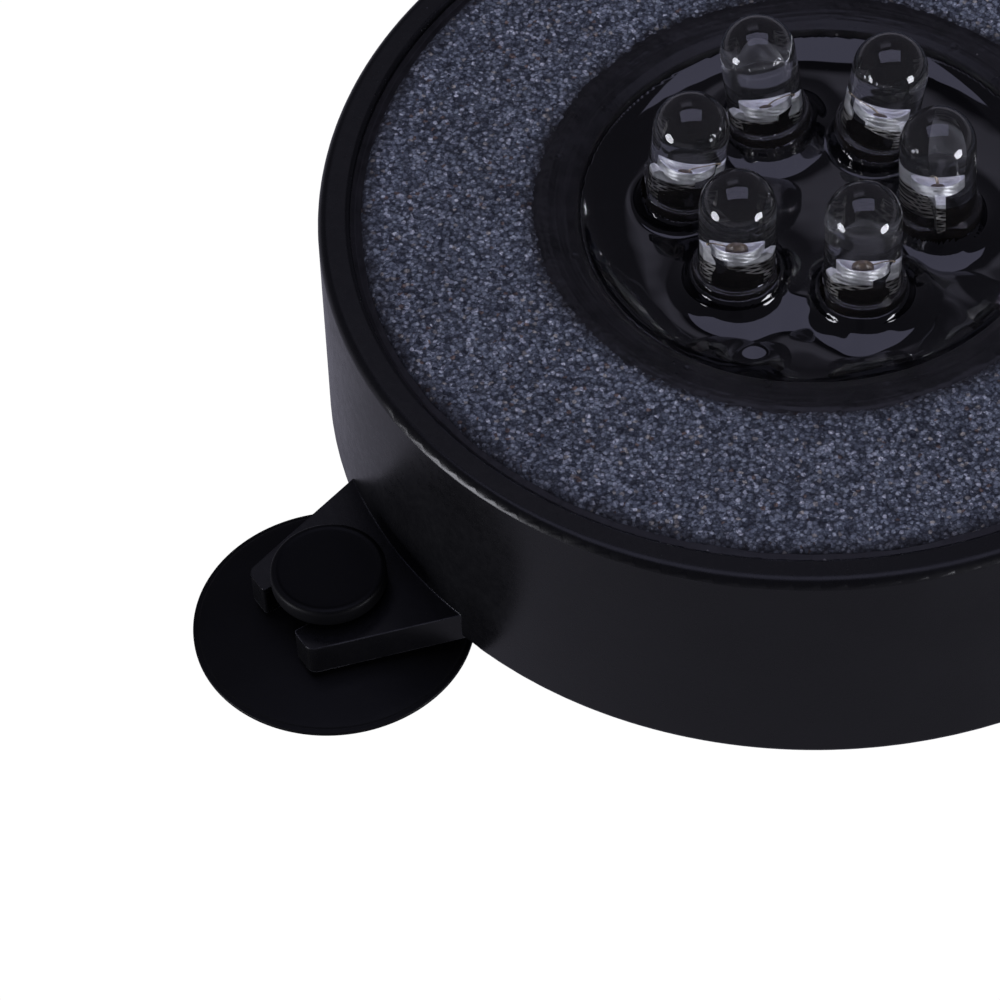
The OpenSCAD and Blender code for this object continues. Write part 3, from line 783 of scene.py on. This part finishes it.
# ------------------------------------------------------------------ sealant rings
def make_inner_epoxy(material):
    count, rings = 1000, 72
    a = np.linspace(0, 2 * math.pi, count, endpoint=False)
    edge = 18.45 + 0.16 * wobble(a, 21, 1, 5, 0.8) + 0.10 * wobble(a, 22, 6, 30, 0.4) + 0.10 * wobble(a, 26, 30, 160, 0.1)
    edge = np.clip(edge, 18.0, 19.1)
    t = np.linspace(0, 1, rings)
    start = 15.02
    rr = start + (edge[None, :] - start) * t[:, None]
    aa = np.repeat(a[None, :], rings, 0)
    x, y = rr * np.cos(aa), rr * np.sin(aa)
    lip = 15.46 + 0.06 * wobble(a, 23, 2, 10)
    lip_z = 16.0 + 0.06 * wobble(a, 24, 2, 9)
    crown = 16.40 + 0.05 * wobble(a, 25, 1, 8)
    z = np.zeros_like(rr)
    for j in range(count):
        z[:, j] = np.interp(rr[:, j], [start, 15.2, lip[j], 15.8, 16.2, 16.9, 17.6, 17.95, edge[j]],
                            [14.7, 15.2, lip_z[j], 16.16, 16.30, crown[j], 16.47, 16.47, 16.36])
    for _ in range(4):                                   # soften the corners of that profile
        z[1:-1] = (z[:-2] + 2 * z[1:-1] + z[2:]) / 4
    # circular drag marks from the spreading tool, lumps and pits
    drag = lattice(aa * 3.2, rr * 3.2, 0 * x, 31) + 0.6 * lattice(aa * 8.0, rr * 7.5, 0 * x, 32)
    lump = lattice(x / 0.9, y / 0.9, 0 * x, 33)
    fine = lattice(x / 0.30, y / 0.30, 0 * x, 34)
    mask = np.clip((rr - 15.6) / 0.9, 0, 1)
    outer = np.clip((rr - 16.9) / 0.8, 0, 1)
    z = z + mask * (0.020 * drag + 0.012 * lump) + mask * (0.006 + 0.020 * outer) * fine
    # burst bubbles
    for bx, by, size in ((-14.35, 2.4, 0.34), (-15.9, -3.2, 0.22), (-16.4, 5.5, 0.18), (3.0, -16.4, 0.25),
                         (-9.5, -13.6, 0.2), (12.2, -11.0, 0.24), (-2.0, 16.6, 0.26), (10.5, 12.6, 0.22)):
        px, py = side(bx, by)
        q = np.hypot(x - px, y - py) / size
        z = z - 0.07 * np.exp(-q ** 2) + 0.035 * np.exp(-((q - 1.35) / 0.4) ** 2)
    z[0] = 14.7
    z = np.minimum(z, 16.6)
    v = [np.stack([x, y, z], -1)]
    for r, zz in ((edge, 15.6), (17.85, 15.4), (17.6, 13.2), (17.42, 13.2), (17.42, 15.02), (15.1, 14.5)):
        r = np.full(count, r) if np.isscalar(r) else r
        v.append(np.stack([r * np.cos(a), r * np.sin(a), np.full(count, zz)], -1)[None])
    v = np.concatenate(v)
    f = ring_faces(v.shape[0], count, closed=True, flip=True)
    return build("inner_epoxy", v.reshape(-1, 3), f, material, "base", ["inner_seal"])


def make_outer_epoxy(material):
    count, rings = 1400, 18
    a = np.linspace(0, 2 * math.pi, count, endpoint=False)
    start = 29.62 + 0.10 * wobble(a, 41, 2, 20, 0.5) + 0.05 * wobble(a, 42, 20, 90, 0.2)
    t = np.linspace(0, 1, rings)
    rr = start[None, :] + (30.42 - start[None, :]) * t[:, None]
    aa = np.repeat(a[None, :], rings, 0)
    x, y = rr * np.cos(aa), rr * np.sin(aa)
    base = np.interp(rr, [29.2, 29.75, 30.1, 30.42], [16.42, 16.22, 16.12, 16.34])
    z = base + 0.02 * lattice(aa * 9, rr * 3, 0 * x, 43) + 0.015 * lattice(x / 0.3, y / 0.3, 0 * x, 44)
    z[0] = 16.1
    v = [np.stack([x, y, z], -1)]
    for r, zz in ((30.42, 15.9), (30.42, 12.05), (29.86, 12.05), (29.7, 15.6)):
        v.append(np.stack([r * np.cos(a), r * np.sin(a), np.full(count, zz)], -1)[None])
    v = np.concatenate(v)
    f = ring_faces(v.shape[0], count, closed=True, flip=True)
    return build("outer_epoxy", v.reshape(-1, 3), f, material, "base", ["outer_seal"])


# ------------------------------------------------------------------ suction cups
def make_cup(name, node, body, material):
    """A moulded cup turned about its own axis: thin flared skirt with a lip, neck and button head."""
    lo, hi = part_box(node)
    cx, cy = (lo[0] + hi[0]) / 2 / MM, (lo[1] + hi[1]) / 2 / MM
    lip, R = -1.7, 9.3
    prof = [(0.02, -0.85), (1.0, -0.86), (2.0, -0.90), (4.0, -1.05), (6.2, -1.26), (R - 1.2, lip + 0.2), (R - 0.98, lip + 0.06),
            (R - 0.86, lip), (R - 0.5, lip), (R - 0.15, lip), (R - 0.05, lip + 0.03), (R, lip + 0.10), (R, lip + 0.24),
            (R - 0.04, lip + 0.30), (R - 0.10, lip + 0.325), (R - 0.30, lip + 0.335), (R - 0.36, lip + 0.35),
            (R - 0.40, lip + 0.40), (R - 0.47, lip + 0.425), (R - 0.9, lip + 0.52)]
    for r in np.linspace(7.9, 3.2, 12):                  # the skirt's top falls away in a faint curve
        t = (r - 2.6) / (R - 0.9 - 2.6)
        prof.append((r, -0.20 - 0.98 * t ** 1.12 - 0.0))
    prof += [(2.6, -0.19), (2.1, -0.15), (1.75, -0.10), (1.62, 0.02), (1.6, 0.3), (1.6, 1.4), (1.6, 2.45), (1.64, 2.62), (1.76, 2.70)]
    prof += [(2.4, 2.70), (3.25, 2.70)]
    for k in range(1, 7):                                # lower edge of the head
        t = math.radians(-90 + 90 * k / 6)
        prof.append((3.35 + 0.45 * math.cos(t), 3.15 + 0.45 * math.sin(t)))
    prof += [(3.8, 3.45), (3.8, 3.78)]
    for k in range(1, 6):                                # upper edge, ending in a fine raised line
        t = math.radians(90 * k / 6)
        prof.append((3.50 + 0.30 * math.cos(t), 3.88 + 0.30 * math.sin(t)))
    prof += [(3.46, 4.195), (3.38, 4.19), (3.30, 4.15), (3.15, 4.135), (2.4, 4.12), (1.2, 4.11), (0.02, 4.105)]
    prof = np.array(prof)
    count = 180
    pts = lathe_points(prof, count)
    a = np.linspace(0, 2 * math.pi, count, endpoint=False)
    seed = int(abs(cx * 7 + cy * 3)) + 11
    edge = np.clip((prof[:, 0] - 6.5) / 2.8, 0, 1)[:, None] * (prof[:, 1] < 0)[:, None]
    pts[..., 2] += edge * np.maximum(0.018 * wobble(a, seed, 2, 5)[None], 0)      # the lip never lies quite flat
    rings = len(prof)
    v = pts.reshape(-1, 3)
    f = [tuple(q) for q in ring_faces(rings, count, closed=False)]
    v = np.concatenate([v, [[0, 0, -0.85], [0, 0, 4.105]]])
    n = rings * count
    for j in range(count):
        f.append((n, (j + 1) % count, j))
        f.append((n + 1, (rings - 1) * count + j, (rings - 1) * count + (j + 1) % count))
    v = v + np.array([cx, cy, 0])
    return build(name, v, f, material, body, [node], sharp=58)


# ------------------------------------------------------------------ stage
def area(name, at, look, sx, sy, radiance, colour=(1, 1, 1), oval=False):
    d = bpy.data.lights.new(name, "AREA")
    d.shape = "ELLIPSE" if oval else "RECTANGLE"
    d.size, d.size_y = sx, sy
    d.energy = radiance * math.pi * sx * sy * (math.pi / 4 if oval else 1)
    d.color = colour
    o = bpy.data.objects.new(name, d)
    bpy.context.scene.collection.objects.link(o)
    z = (Vector(at) - Vector(look)).normalized()
    up = Vector((0, 0, 1)) if abs(z.z) < 0.95 else Vector(side(0, 1) + (0,))
    x = up.cross(z).normalized()
    y = z.cross(x)
    m = Matrix((x, y, z)).transposed().to_4x4()
    m.translation = at
    o.matrix_world = m
    o.visible_camera = False
    return o


ZONE = (0.12, 0.172, 0.24)           # the bright zone behind: how far left its middle is, and where it fades out


def make_stage():
    low = cad_box[0][2] if not hasattr(cad_box, "keys") else 0
    me = bpy.data.meshes.new("floor")
    s, z = 3.0, float(low) - 0.00002
    me.from_pydata([(-s, -s, z), (s, -s, z), (s, s, z), (-s, s, z)], [], [(0, 1, 2, 3)])
    floor = bpy.data.objects.new("floor", me)
    bpy.context.scene.collection.objects.link(floor)
    fm = bpy.data.materials.new("floor_look")
    fm.use_nodes = True
    nt = fm.node_tree
    nt.nodes.clear()
    out = nt.nodes.new("ShaderNodeOutputMaterial")
    white = nt.nodes.new("ShaderNodeEmission")
    tint = nt.nodes.new("ShaderNodeTexNoise")
    tint.inputs["Scale"].default_value = 3.0
    ramp = nt.nodes.new("ShaderNodeValToRGB")
    ramp.color_ramp.elements[0].color = (1.02, 1.02, 1.02, 1)
    ramp.color_ramp.elements[1].color = (1.06, 1.06, 1.06, 1)
    nt.links.new(tint.outputs["Fac"], ramp.inputs[0])
    nt.links.new(ramp.outputs[0], white.inputs[0])
    nt.links.new(white.outputs[0], out.inputs[0])
    me.materials.append(fm)
    for kind in ("diffuse", "glossy", "transmission", "shadow"):   # a pale sweep: lit evenly by the world below the horizon
        setattr(floor, f"visible_{kind}", False)
    # softbox overhead, and an oval lamp low on each side
    top = side(0, 0.005)
    area("softbox", (top[0], top[1], 0.516), (top[0], top[1], 0.016), 0.566, 0.344, 1.0, (0.86, 0.86, 1.27))
    for name, az, w, h, rad in (("lamp_left", 201, 0.126, 0.112, 12), ("lamp_right", 323, 0.126, 0.112, 15)):
        t = math.radians(az)
        px, py = side(0.28 * math.cos(t), 0.28 * math.sin(t))
        area(name, (px, py, 0.002), (0, 0, 0.02), w, h, rad, (0.96, 0.97, 1.06), oval=True)
    world = bpy.data.worlds.new("world")
    bpy.context.scene.world = world
    world.use_nodes = True
    nt = world.node_tree
    nt.nodes.clear()
    out = nt.nodes.new("ShaderNodeOutputWorld")
    bg = nt.nodes.new("ShaderNodeBackground")
    co = nt.nodes.new("ShaderNodeTexCoord")
    dot = nt.nodes.new("ShaderNodeVectorMath")
    dot.operation = "DOT_PRODUCT"
    away = side(0, 1)
    dot.inputs[1].default_value = (away[0], away[1], 0)
    nt.links.new(co.outputs["Generated"], dot.inputs[0])
    xyz = nt.nodes.new("ShaderNodeSeparateXYZ")
    nt.links.new(co.outputs["Generated"], xyz.inputs[0])
    ang = nt.nodes.new("ShaderNodeMath")
    ang.operation = "ARCTAN2"
    nt.links.new(dot.outputs["Value"], ang.inputs[0])
    nt.links.new(xyz.outputs[2], ang.inputs[1])
    deg = nt.nodes.new("ShaderNodeMapRange")              # -90..90 degrees from the zenith, towards and away
    for i, v in zip((1, 2, 3, 4), (-math.pi / 2, math.pi / 2, 0, 1)):
        deg.inputs[i].default_value = v
    nt.links.new(ang.outputs[0], deg.inputs[0])
    ramp = nt.nodes.new("ShaderNodeValToRGB")
    stops = [(-90, 0.08), (-50, 0.08), (-24, 0.10), (20, 0.04), (27, 0.05), (33, 0.47), (41, 0.50), (47, 0.22), (60, 0.10), (90, 0.08)]
    e = ramp.color_ramp.elements
    while len(e) < len(stops):
        e.new(0.5)
    for el, (d, v) in zip(e, stops):
        el.position = (d + 90) / 180
        el.color = (v * 0.95, v * 0.93, v * 1.22, 1)
    nt.links.new(deg.outputs[0], ramp.inputs[0])
    across = nt.nodes.new("ShaderNodeVectorMath")
    across.operation = "DOT_PRODUCT"
    right = side(1, 0)
    across.inputs[1].default_value = (right[0], right[1], 0)
    nt.links.new(co.outputs["Generated"], across.inputs[0])
    shift = nt.nodes.new("ShaderNodeMath")
    shift.operation = "ADD"
    shift.inputs[1].default_value = ZONE[0]
    nt.links.new(across.outputs["Value"], shift.inputs[0])
    size = nt.nodes.new("ShaderNodeMath")
    size.operation = "ABSOLUTE"
    nt.links.new(shift.outputs[0], size.inputs[0])
    fade = nt.nodes.new("ShaderNodeMapRange")
    for i, v in zip((1, 2, 3, 4), (ZONE[1], ZONE[2], 1.0, 0.0)):
        fade.inputs[i].default_value = v
    nt.links.new(size.outputs[0], fade.inputs[0])
    zone = nt.nodes.new("ShaderNodeMix")
    zone.data_type = "RGBA"
    zone.inputs[6].default_value = (0.092, 0.090, 0.118, 1)
    nt.links.new(fade.outputs[0], zone.inputs[0])
    nt.links.new(ramp.outputs[0], zone.inputs[7])
    above = nt.nodes.new("ShaderNodeMath")
    above.operation = "GREATER_THAN"
    above.inputs[1].default_value = 0.0
    nt.links.new(xyz.outputs[2], above.inputs[0])
    pick = nt.nodes.new("ShaderNodeMix")
    pick.data_type = "RGBA"
    pick.inputs[6].default_value = (0.262, 0.256, 0.320, 1)      # the sweep under the object
    nt.links.new(above.outputs[0], pick.inputs[0])
    nt.links.new(zone.outputs[2], pick.inputs[7])
    nt.links.new(pick.outputs[2], bg.inputs[0])
    nt.links.new(bg.outputs[0], out.inputs[0])


# ------------------------------------------------------------------ make it all
make_camera()

plastic = black_plastic("housing_look", rough=0.28, wear_and_sheen=0.42)
give("housing", plastic)
give("air_inlet", black_plastic("inlet_look", 0.007, 0.32, 0.4, 0.08))
give("cable_gland", rubber("gland_look"))
cup_look = rubber("cup_look", bevel_mm=0.07, wear_and_sheen=0.55)
for n in ("front", "right", "left"):
    make_cup(f"moulded_cup_{n}", f"suction_cup_{n}", f"{n}_cup", cup_look)
for i, drop in enumerate(DROP):
    silver = lead_material(f"lead_frame_look_{i + 1}", FOOT + 2.75 - drop)
    give(f"led_cathode_{i + 1}", silver)
    give(f"led_anode_{i + 1}", silver)
give("bond_wires", metal("bond_wire_look", (0.50, 0.42, 0.30), 0.25, cloud_mm=0.3))
make_fills(dielectric("die_look", (0.085, 0.060, 0.040), 0.35, 0.25))
give("circuit_board", board_material())
give("solder_joints", metal("solder_look", (0.66, 0.67, 0.69), 0.3, cloud_mm=0.4))
ceramic = dielectric("resistor_look", (0.012, 0.012, 0.014), 0.35, 0.5)
give("resistor_1", ceramic)
give("resistor_2", ceramic)
give("supply_lead_red", dielectric("red_lead_look", (0.34, 0.012, 0.010), 0.4, 0.9))
give("supply_lead_black", dielectric("black_lead_look", (0.010, 0.010, 0.011), 0.42, 0.9))

make_grit(grit_material())
inner_look = epoxy_material("inner_epoxy_look", 0.34, 0.0115, 0.12)
make_inner_epoxy(inner_look)
make_outer_epoxy(epoxy_material("outer_epoxy_look", 0.42, 0.016, 0.16))
make_resin(resin_material(), bed_material())
clear = lens_material()
for i in range(6):
    make_lens(i, clear)

make_stage()
bpy.context.scene.view_settings.view_transform = "Standard"
bpy.context.scene.view_settings.look = "None"
